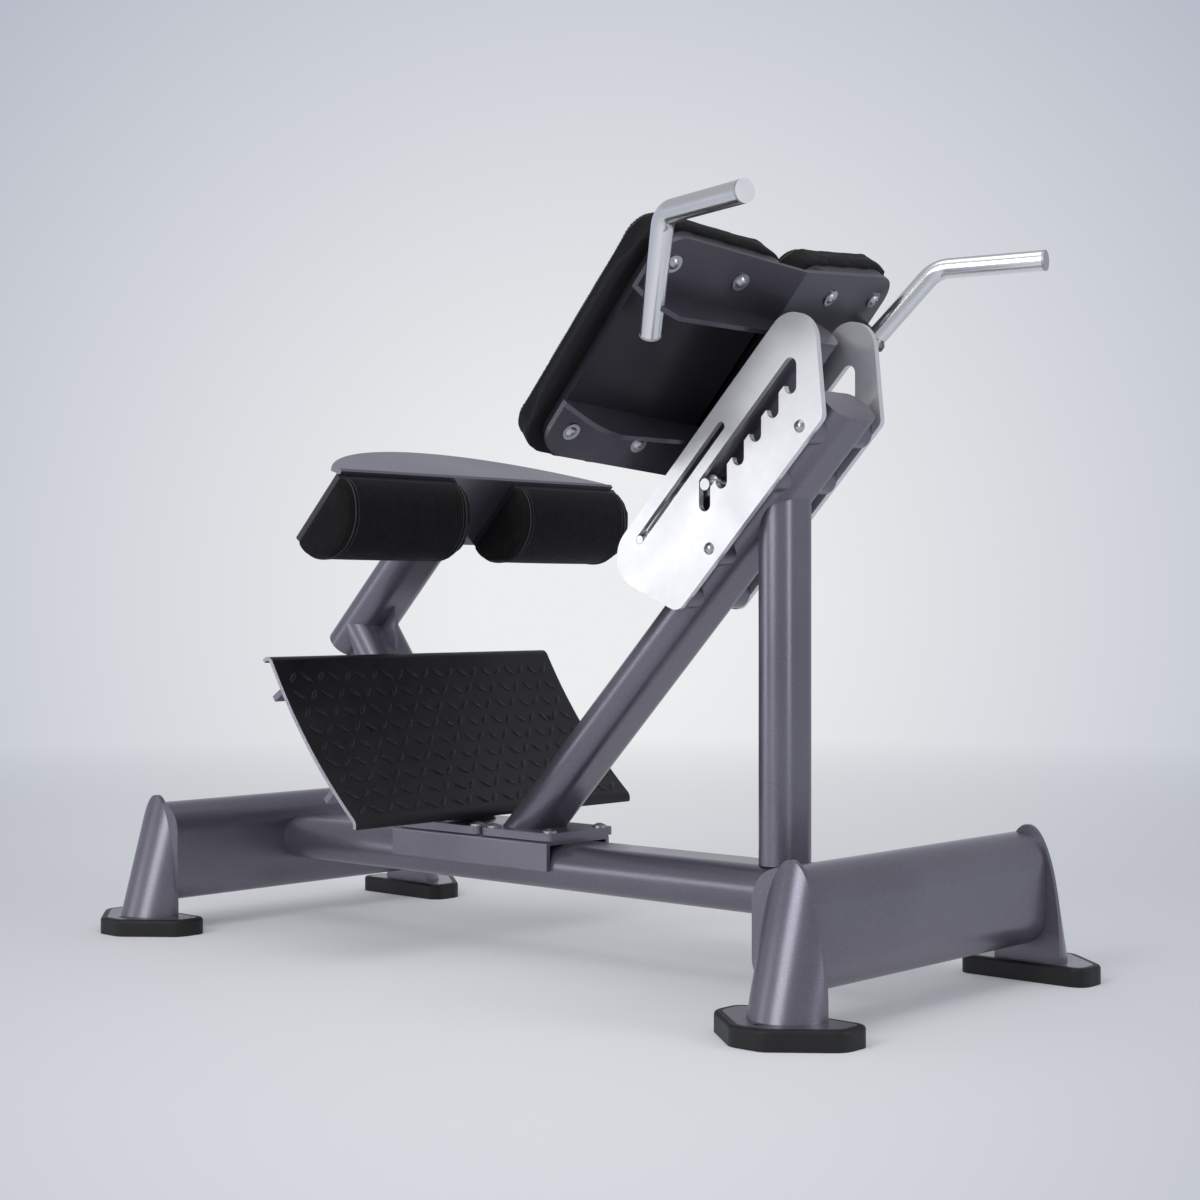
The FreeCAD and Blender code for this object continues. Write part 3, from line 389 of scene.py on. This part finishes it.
def cover(name, group, mask, colour, pale, rough):
    """Cover of a pad: darker in the creases and between the ribs, a painted shade, paler on the ridges, and a
    faint sheen.
    """
    made, tree, shader, effect = start_material(name, group)
    # Creases and grooves darker than the ridges: a painted shade.
    tint = mix_colour(tree, fit(tree, effect.outputs[mask], 0.1, 0.9, 0.0, 1.0), colour, pale)
    tree.links.new(tint, shader.inputs["Base Color"])
    tree.links.new(fit(tree, effect.outputs[mask], 0.0, 1.0, rough + 0.1, rough), shader.inputs["Roughness"])
    shader.inputs["Sheen Weight"].default_value = 0.04
    shader.inputs["Sheen Roughness"].default_value = 0.45
    shader.inputs["Specular IOR Level"].default_value = 0.22
    MATERIALS[name] = made


cover("pad_cover", grain_group(), "Crease", (0.0022, 0.0022, 0.0024), (0.0052, 0.0052, 0.0056), 0.66)
cover("ribbed_cover", rib_group(), "Ridge", (0.0018, 0.0018, 0.0020), (0.0050, 0.0050, 0.0054), 0.70)
print("with the covers", len(MATERIALS), "materials")

# %% [markdown]
# ## Finish of each CAD piece
#
# A piece takes the material of its slot. Four pieces differ from the rest of their slot: the cradles
# are darker than the frame, a painted shade, the handle caps duller than the handles, and the foot
# plate has edges painted pale, a painted highlight.

# %% Put the materials on
FINISHES = {"cradle_upper": "cradle_shaded_paint", "cradle_lower": "cradle_shaded_paint", "handle_caps": "cap_steel",
            "foot_plate": "tread_sheet"}

for name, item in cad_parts.items():
    for place in item.material_slots:
        slot_name = place.material.name.split(".")[0]
        place.material = MATERIALS[FINISHES.get(name, slot_name)]
print(len(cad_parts), "pieces finished,", len(FINISHES), "of them apart from their slot")

# %% [markdown]
# ## Reading a pad from the CAD model
#
# A pad lies at a slant, so it is worked on in its own directions: along it, across it and out of its
# face. Its flat back is the largest group of faces that look away from the face, which gives the
# slant without copying any number from the CAD source.

# %% Pad directions
def coordinates(mesh):
    """Vertex positions of a mesh."""
    flat = np.zeros(3 * len(mesh.vertices), np.float32)
    mesh.vertices.foreach_get("co", flat)
    return flat.reshape(-1, 3).astype(float)


def pad_axes(node, face_hint):
    """Centre, directions (along, across, out of the face) and half sizes of a flat-backed pad."""
    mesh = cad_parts[node].data
    normals = np.zeros(3 * len(mesh.polygons), np.float32)
    areas = np.zeros(len(mesh.polygons), np.float32)
    mesh.polygons.foreach_get("normal", normals)
    mesh.polygons.foreach_get("area", areas)
    normals = normals.reshape(-1, 3)
    back = normals @ np.asarray(face_hint, float) < -0.5
    kind = np.unique(np.round(normals[back], 2), axis=0, return_inverse=True)[1].ravel()
    flat = kind == np.argmax(np.bincount(kind, weights=areas[back]))
    out = -unit((normals[back][flat] * areas[back][flat][:, None]).sum(axis=0))
    along = unit(np.cross(out, [1.0, 0, 0]))
    ways = np.array([along, np.cross(along, out), out])
    local = coordinates(mesh) @ ways.T
    low, high = local.min(axis=0), local.max(axis=0)
    return (low + high) / 2 @ ways, ways, (high - low) / 2


print("hip pad half sizes", np.round(1000 * pad_axes("hip_pad_right", (0, 0.75, 0.65))[2], 1), "mm")

# %% [markdown]
# ## Stuffing
#
# A real pad is foam pulled tight by its cover, so its faces swell and its corners stay firm. It could
# be sculpted, but a cloth under pressure finds that shape by itself. The pad starts as its CAD solid,
# drawn in slightly and remeshed evenly. Its back is held flat against the board. Afterwards the
# movement of each point is capped, wrinkles are eased out, and the face may stand proud of the CAD
# solid by the allowance only.

# %% Cloth under pressure
VOXEL = 0.005
HELD_DEPTH = 0.004
CLOTH_FRAMES = 20
EASING_ROUNDS = 10


def relaxed(mesh, points, rounds):
    """Points eased by p + w (mean of neighbours - p), with w 0.5 and -0.51 in turn, which takes out
    wrinkles and voxel steps without shrinking the pad."""
    pairs = np.zeros(2 * len(mesh.edges), np.int32)
    mesh.edges.foreach_get("vertices", pairs)
    first, second = pairs.reshape(-1, 2).T
    count = np.bincount(pairs, minlength=len(points))[:, None]
    for step in range(2 * rounds):
        total = np.zeros_like(points)
        np.add.at(total, first, points[second])
        np.add.at(total, second, points[first])
        weight = 0.5 if step % 2 == 0 else -0.51
        points = points + weight * (total / count - points)
    return points


def shrunken(name, node, centre, ways, half, shrink):
    """Copy of a CAD pad, scaled towards its back's middle by the shrink and remeshed in even voxels."""
    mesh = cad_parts[node].data
    local = (coordinates(mesh) - centre) @ ways.T
    local[:, :2] *= 1 - shrink / half[:2]
    local[:, 2] = -half[2] + (local[:, 2] + half[2]) * (1 - shrink / (2 * half[2]))
    welded, index = np.unique(np.round(local, 6), axis=0, return_inverse=True)
    corners = np.zeros(len(mesh.loops), np.int32)
    mesh.loops.foreach_get("vertex_index", corners)
    faces = index.ravel()[corners].reshape(-1, 3)
    faces = faces[(faces != np.roll(faces, 1, axis=1)).all(axis=1)]
    pad = make_object(name, welded @ ways + centre, faces)
    change = pad.modifiers.new("remesh", "REMESH")
    change.mode = "VOXEL"
    change.voxel_size = VOXEL
    graph = bpy.context.evaluated_depsgraph_get()
    pad.data = bpy.data.meshes.new_from_object(pad.evaluated_get(graph))
    pad.modifiers.clear()
    return pad


def swollen(pad, held_points):
    """Vertex positions after the cover has swelled as cloth, with the held points kept still."""
    pad.vertex_groups.new(name="held").add(held_points.tolist(), 1.0, "REPLACE")
    cloth = pad.modifiers.new("cloth", "CLOTH")
    settings = cloth.settings
    settings.quality = 5
    settings.mass = 0.3
    settings.tension_stiffness = 12
    settings.compression_stiffness = 12
    settings.bending_stiffness = 0.6
    settings.use_pressure = True
    settings.uniform_pressure_force = 4
    settings.vertex_group_mass = "held"
    settings.effector_weights.gravity = 0
    cloth.point_cache.frame_start = 1
    cloth.point_cache.frame_end = CLOTH_FRAMES
    for step in range(1, CLOTH_FRAMES + 1):
        scene.frame_set(step)
    graph = bpy.context.evaluated_depsgraph_get()
    moved = coordinates(pad.evaluated_get(graph).data)
    scene.frame_set(1)
    pad.modifiers.clear()
    pad.vertex_groups.clear()
    return moved


def stuffed(name, node, face_hint, shrink, cap, proud):
    """Swollen pad in place of a CAD pad: the object, its axes, its centre and its half sizes."""
    centre, ways, half = pad_axes(node, face_hint)
    pad = shrunken(name, node, centre, ways, half, shrink)
    before = coordinates(pad.data)
    height = (before - centre) @ ways[2]
    moved = swollen(pad, np.flatnonzero(height < -half[2] + HELD_DEPTH))
    shift = moved - before
    reach = np.linalg.norm(shift, axis=1, keepdims=True)
    shift *= np.minimum(1.0, cap / np.maximum(reach, 1e-9))
    after = (relaxed(pad.data, before + shift, EASING_ROUNDS) - centre) @ ways.T
    after = np.clip(after, -half, half + [0, 0, proud])
    pad.data.vertices.foreach_set("co", (after @ ways + centre).astype(np.float32).ravel())
    pad.data.polygons.foreach_set("use_smooth", np.ones(len(pad.data.polygons), bool))
    pad.data.update()
    print(name, "has", len(pad.data.vertices), "points and swelled up to", round(1000 * reach.max(), 1), "mm")
    return pad, ways, centre, half

# %% [markdown]
# ## Seams and stitches
#
# A seam is a thin closed tube that follows the cover, with a row of short stitches beside it. The
# path is found by casting rays inwards from a loop outside the pad, so the thread lies on the
# swollen surface and not on the CAD solid. The left pads mirror the right.

# %% Thread on a pad
LEFT_SIDE = np.array([-1.0, 1.0, 1.0])
SEAM_RADIUS = 0.0011
STITCH_HALF_LENGTH = 0.0021
STITCH_HALF_WIDTH = 0.0007
STITCH_HEIGHT = 0.0006
STITCH_BESIDE = 0.0055
RAY_REACH = 0.03


def square_to(outward, path):
    """Tangents of a closed path, and the outward directions made square to them."""
    tangent = unit(np.roll(path, -1, axis=0) - np.roll(path, 1, axis=0))
    return tangent, unit(outward - tangent * np.sum(outward * tangent, axis=1, keepdims=True))


def loop_tube(path, outward, radius, sides=8):
    """Closed tube: p(i, t) = path_i + radius (cos t outward_i + sin t (tangent_i x outward_i))."""
    tangent, outward = square_to(outward, path)
    across = np.cross(tangent, outward)
    turn = np.linspace(0, 2 * math.pi, sides, endpoint=False)
    ring = np.cos(turn)[None, :, None] * outward[:, None] + np.sin(turn)[None, :, None] * across[:, None]
    points = path[:, None] + radius * ring
    return points.reshape(-1, 3), grid_quads(len(path), sides, True)


def lenses(centres, length_way, width_way, up_way, half_length, half_width, height, rows=11, sides=10):
    """Lens-shaped bodies: p(u, t) = c + L u l + W (1 - u^2) cos t w + H (1 - u^2)^0.6 sin t n."""
    u = np.linspace(-0.985, 0.985, rows)
    turn = np.linspace(0, 2 * math.pi, sides, endpoint=False)
    swell = 1 - u ** 2
    along = np.repeat(u[:, None], sides, axis=1).ravel() * half_length
    wide = (swell[:, None] * np.cos(turn)[None]).ravel() * half_width
    tall = ((swell ** 0.6)[:, None] * np.sin(turn)[None]).ravel() * height
    points = (centres[:, None] + along[None, :, None] * length_way[:, None]
              + wide[None, :, None] * width_way[:, None] + tall[None, :, None] * up_way[:, None])
    half = np.arange(sides // 2 - 1)
    low_end = np.stack([half, half + 1, sides - 2 - half, sides - 1 - half], axis=1)
    high_end = low_end[:, ::-1] + (rows - 1) * sides
    one = np.concatenate([grid_quads(rows, sides, False), low_end, high_end])
    quads = [one + index * rows * sides for index in range(len(centres))]
    return points.reshape(-1, 3), np.concatenate(quads)


def hits(pad, starts, targets):
    """Points where rays from the starts towards the targets first meet a pad."""
    tree = BVHTree.FromPolygons([vertex.co for vertex in pad.data.vertices],
                                [face.vertices for face in pad.data.polygons])
    found = []
    for start, target in zip(starts, targets):
        place = tree.ray_cast(Vector(start), Vector(target - start))[0]
        found.append(target if place is None else np.array(place))
    return np.array(found)


def mirror_object(item, name):
    """The same piece on the other side of the middle plane."""
    mesh = item.data.copy()
    mesh.name = name
    mesh.vertices.foreach_set("co", (coordinates(mesh) * LEFT_SIDE).astype(np.float32).ravel())
    mesh.flip_normals()
    return link_mesh(name, mesh)


def add_pair(piece, label, body, material):
    """Give a right-hand piece its finish, mirror it, and let both ride."""
    twin = mirror_object(piece, label + "_left")
    piece.name = label + "_right"
    for item in (piece, twin):
        item.data.materials.clear()
        item.data.materials.append(MATERIALS[material])
        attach(item, body)
    return piece, twin


def seam_and_stitches(pad, loop, outward, stitch_shift, label, body):
    """Raised seam on a closed loop of a pad, and a row of stitches beside it."""
    points, quads = loop_tube(loop, outward, SEAM_RADIUS)
    add_pair(make_object(label + "_seam", points, quads), label + "_seam", body, "fastener_black")
    beside = loop + stitch_shift
    beside = hits(pad, beside + RAY_REACH * outward, beside - RAY_REACH * outward)
    tangent, outward = square_to(outward, beside)
    points, quads = lenses(beside, tangent, np.cross(outward, tangent), outward,
                           STITCH_HALF_LENGTH, STITCH_HALF_WIDTH, STITCH_HEIGHT, 5, 6)
    add_pair(make_object(label + "_stitches", points, quads), label + "_stitches", body, "fastener_black")
    print(label, "has", len(beside), "stitches on each side")

# %% [markdown]
# ## Hip pads
#
# Two flat rectangular pads with rounded corners, sewn once around their edge. The loop for the rays
# is a superellipse, which is a rectangle whose corners round off evenly as its power falls.

# %% Hip pads
HIP_CORNER = 0.040
HIP_SEAM_LEVEL = 0.45      # part of the half thickness, from the middle towards the face


def rounded_loop(half_long, half_wide, corner, count=240):
    """Even walk around a rounded rectangle: superellipse |x/a|^n + |y/b|^n = 1 with n set by the corner."""
    turn = np.linspace(0, 2 * math.pi, count, endpoint=False)
    power = 2 / (2 + 5 * (1 - corner / min(half_long, half_wide)))
    x = half_long * np.sign(np.cos(turn)) * np.abs(np.cos(turn)) ** power
    y = half_wide * np.sign(np.sin(turn)) * np.abs(np.sin(turn)) ** power
    fine = np.stack([x, y], axis=1)
    gaps = np.linalg.norm(np.roll(fine, -1, axis=0) - fine, axis=1)
    walked = np.concatenate([[0], np.cumsum(gaps)])
    even = np.linspace(0, walked[-1], count, endpoint=False)
    closed = np.vstack([fine, fine[:1]])
    return np.stack([np.interp(even, walked, closed[:, k]) for k in (0, 1)], axis=1)


hip, ways, centre, half = stuffed("hip_cover", "hip_pad_right", (0, 0.75, 0.65), 0.0015, 0.004, 0.004)
outline = rounded_loop(half[0], half[1], HIP_CORNER)
spread = np.hstack([outline, np.full((len(outline), 1), 0.0)])
lifted = centre + HIP_SEAM_LEVEL * half[2] * ways[2]
path = hits(hip, lifted + 1.3 * spread @ ways, np.repeat(lifted[None], len(outline), axis=0))
seam_and_stitches(hip, path, unit(spread @ ways), STITCH_BESIDE * ways[2][None], "hip_front", "carriage")
hip_pads = add_pair(hip, "hip_cover", "carriage", "pad_cover")

# %% [markdown]
# ## Calf pads
#
# Two D-shaped bars that the calves press against. Their covers are sewn near both ends, so each seam
# is a circle of rays around the bar.

# %% Calf pads
CALF_SEAM_INSET = 0.012

calf, ways, centre, half = stuffed("calf_cover", "calf_pad_right", (0, -0.7, -0.7), 0.002, 0.004, 0.004)
turn = np.linspace(0, 2 * math.pi, 120, endpoint=False)
ring = np.cos(turn)[:, None] * ways[0] + np.sin(turn)[:, None] * ways[2]
across_way = ways[1] * np.sign(ways[1][0])
for side, label in ((-1, "calf_inner"), (1, "calf_outer")):
    middle = centre + side * (half[1] - CALF_SEAM_INSET) * across_way
    path = hits(calf, middle + 0.2 * ring, np.repeat(middle[None], len(turn), axis=0))
    seam_and_stitches(calf, path, ring, -side * STITCH_BESIDE * across_way[None], label, "frame")
calf_pads = add_pair(calf, "calf_cover", "frame", "ribbed_cover")

# %% [markdown]
# ## Covers stand in for the CAD pads
#
# Each cover takes the place of its CAD pad, which is then not shown. One
# level of subdivision smooths what is left of the voxel grid.

for pads, node in ((hip_pads, "hip_pad"), (calf_pads, "calf_pad")):
    for pad, hand in zip(pads, ("_right", "_left")):
        smooth = pad.modifiers.new("smooth", "SUBSURF")
        smooth.levels = 1
        smooth.render_levels = 1
        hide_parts(node + hand)
        print(pad.name, "stands in for", node + hand)

# %% [markdown]
# ## Tread lugs
#
# Lens-shaped lugs at 45 degrees to each other on the hollow face of the foot plate. They could be a
# bump in the material, but real lugs catch the light at their ends and show at the plate's edge. The
# face is an arc about a line across X; the lugs are laid out by distance across and along the arc.

# %% Lugs on the foot plate
TREAD_Y = -0.3938
TREAD_Z = 0.7553
TREAD_RADIUS = 0.765
TREAD_LOW = math.radians(-48.3)
TREAD_HIGH = math.radians(-30.6)
TREAD_MARGIN = 0.012
LUG_ACROSS = 0.0232
LUG_ALONG = 0.0262
LUG_HALF_LENGTH = 0.0112
LUG_HALF_WIDTH = 0.0036
LUG_HEIGHT = 0.0018

columns = int((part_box("foot_plate")[1].x - TREAD_MARGIN) // LUG_ACROSS)
rows = int(TREAD_RADIUS * (TREAD_HIGH - TREAD_LOW) // LUG_ALONG)
column, row = np.meshgrid(np.arange(-columns, columns + 1), np.arange(rows + 1), indexing="ij")
column, row = column.ravel(), row.ravel()
angle = TREAD_LOW + (row + 0.35) * LUG_ALONG / TREAD_RADIUS
inside = angle < TREAD_HIGH
column, row, angle = column[inside], row[inside], angle[inside]
lean = np.where((column + row) % 2 == 0, 1.0, -1.0)
up = np.stack([np.zeros_like(angle), -np.cos(angle), -np.sin(angle)], axis=1)
climb = np.stack([np.zeros_like(angle), -np.sin(angle), np.cos(angle)], axis=1)
sideways = np.tile([1.0, 0, 0], (len(angle), 1))
centres = np.stack([column * LUG_ACROSS, TREAD_Y + TREAD_RADIUS * np.cos(angle),
                    TREAD_Z + TREAD_RADIUS * np.sin(angle)], axis=1)
length_way = unit(sideways + lean[:, None] * climb)
points, quads = lenses(centres, length_way, np.cross(up, length_way), up,
                       LUG_HALF_LENGTH, LUG_HALF_WIDTH, LUG_HEIGHT)
lugs = make_object("tread_lugs", points, quads)
lugs.data.materials.append(MATERIALS["tread_black"])
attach(lugs, "frame")
print(len(centres), "lugs on the foot plate")

# %% [markdown]
# ## Backdrop
#
# One pale sheet is both floor and wall: a straight floor, a quarter circle and a straight wall, so
# there is no corner behind the machine. Near the machine it takes shadows; further off it glows, so
# the wall needs no light of its own. It darkens with the angle from the main camera's line of sight, a
# painted vignette shade, which is laid down in object coordinates and stays put on the sheet.

# %% Floor and wall
EYE = np.array([-1.9871, -1.8599, 0.4506])
SWEEP_START, SWEEP_WALL, SWEEP_BEND, SWEEP_TOP = -40.0, 9.0, 3.5, 9.0
SWEEP_HALF_WIDTH = 40
HEADING = math.radians(47.9)
AHEAD = np.array([math.sin(HEADING), math.cos(HEADING), 0])
ASIDE = np.array([math.cos(HEADING), -math.sin(HEADING), 0])


def sweep_sheet():
    """Grid p(s, x) = run(s) ahead + x aside + rise(s) up, where the bend is a quarter circle."""
    arc = np.linspace(0, math.pi / 2, 25)
    end = SWEEP_WALL + SWEEP_BEND
    run = np.concatenate([np.linspace(SWEEP_START, SWEEP_WALL, 40)[:-1],
                          SWEEP_WALL + SWEEP_BEND * np.sin(arc), np.full(12, end)])
    rise = np.concatenate([np.zeros(39), SWEEP_BEND * (1 - np.cos(arc)),
                           np.linspace(SWEEP_BEND, SWEEP_TOP, 13)[1:]])
    across = np.linspace(-SWEEP_HALF_WIDTH, SWEEP_HALF_WIDTH, 81)
    points = (run[:, None, None] * AHEAD + across[None, :, None] * ASIDE
              + rise[:, None, None] * np.array([0, 0, 1.0])).reshape(-1, 3)
    row, column = np.meshgrid(np.arange(len(run) - 1), np.arange(len(across) - 1), indexing="ij")
    first = row * len(across) + column
    quads = np.stack([first, first + len(across), first + len(across) + 1, first + 1], axis=-1)
    return make_object("sweep", points, quads.reshape(-1, 4)[:, ::-1])


def sweep_grey():
    """Pale grey: reflects near the machine, glows further off, and darkens away from the line of sight, a
    painted vignette shade.
    """
    made = bpy.data.materials.new("sweep_grey")
    made.use_nodes = True
    tree = made.node_tree
    shader = tree.nodes["Principled BSDF"]
    place = add(tree, "TexCoord").outputs["Object"]
    seen = vector_node(tree, "SUBTRACT", {0: place, 1: tuple(EYE)})
    depth = vector_node(tree, "DOT_PRODUCT", {0: seen, 1: tuple(AHEAD)}, "Value")
    beside = vector_node(tree, "CROSS_PRODUCT", {0: seen, 1: tuple(AHEAD)})
    beside = vector_node(tree, "LENGTH", {0: beside}, "Value")
    ratio = math_node(tree, "DIVIDE", beside, math_node(tree, "MAXIMUM", depth, 0.5))
    # Painted shade: the sheet darkens with the angle from the main camera's line of sight, like a vignette.
    painted_vignette = fit(tree, ratio, 0.06, 0.42, 0.0, 1.0)
    far = fit(tree, vector_node(tree, "LENGTH", {0: place}, "Value"), 0.9, 4.2, 0.0, 1.0)
    near_colour = mix_colour(tree, painted_vignette, (0.86, 0.865, 0.87), (0.62, 0.63, 0.66))
    glow = mix_colour(tree, painted_vignette, (0.84, 0.85, 0.86), (0.46, 0.49, 0.57))
    tree.links.new(mix_colour(tree, far, near_colour, (0.0, 0.0, 0.0)), shader.inputs["Base Color"])
    tree.links.new(glow, shader.inputs["Emission Color"])
    tree.links.new(fit(tree, far, 0.0, 1.0, 0.16, 1.0), shader.inputs["Emission Strength"])
    shader.inputs["Roughness"].default_value = 0.6
    shader.inputs["Specular IOR Level"].default_value = 0.0
    return made


sheet = sweep_sheet()
sheet.data.materials.append(sweep_grey())
print("backdrop of", len(sheet.data.polygons), "faces")

# %% [markdown]
# ## Lights
#
# Soft boxes are large rectangles that glow evenly, so shadows have wide, faint edges. One stands low
# on the left, one near the camera, one on the right and one above. The world adds an even fill.

# %% Soft boxes and world
WHITE = (1.0, 1.0, 1.0)
MACHINE_MIDDLE = (0, 0, 0.45)


def soft_light(name, place, size, power, colour):
    """Rectangular softbox aimed at the middle of the machine."""
    data = bpy.data.lights.new(name, "AREA")
    data.shape = "RECTANGLE"
    data.size, data.size_y = size
    data.energy = power
    data.color = colour
    light = bpy.data.objects.new(name, data)
    light.location = place
    light.rotation_euler = (Vector(MACHINE_MIDDLE) - Vector(place)).to_track_quat("-Z", "Y").to_euler()
    scene.collection.objects.link(light)
    print(name, power, "W")


soft_light("left_box", (-3.5, 2.7, 0.45), (1.7, 1.2), 16, WHITE)
soft_light("near_box", (-3.3, -0.5, 1.7), (1.6, 2.4), 44, WHITE)
soft_light("right_box", (0.8, -3.6, 1.4), (1.2, 2.4), 26, (0.97, 0.98, 1.0))
soft_light("top_box", (-0.6, -0.4, 4.4), (3.0, 3.0), 30, WHITE)

world = bpy.data.worlds.new("studio")
world.use_nodes = True
background = world.node_tree.nodes["Background"]
background.inputs["Color"].default_value = (0.86, 0.88, 0.93, 1.0)
background.inputs["Strength"].default_value = 0.46
scene.world = world
scene.view_settings.view_transform = "Standard"

# %% [markdown]
# ## Camera
#
# The camera stands low and level, in front of the machine's left side. Because it is level, upright
# posts stay parallel in the picture. Depth of field is off, so every piece is sharp.

# %% Camera
lens = bpy.data.cameras.new("camera")
lens.lens = 63.67
lens.sensor_width = 36.0
lens.dof.use_dof = False
camera = bpy.data.objects.new("camera", lens)
camera.location = EYE
camera.rotation_euler = (math.radians(90), 0, math.radians(-47.916))
scene.collection.objects.link(camera)
scene.camera = camera
print("camera sees", round(math.degrees(lens.angle), 1), "degrees")
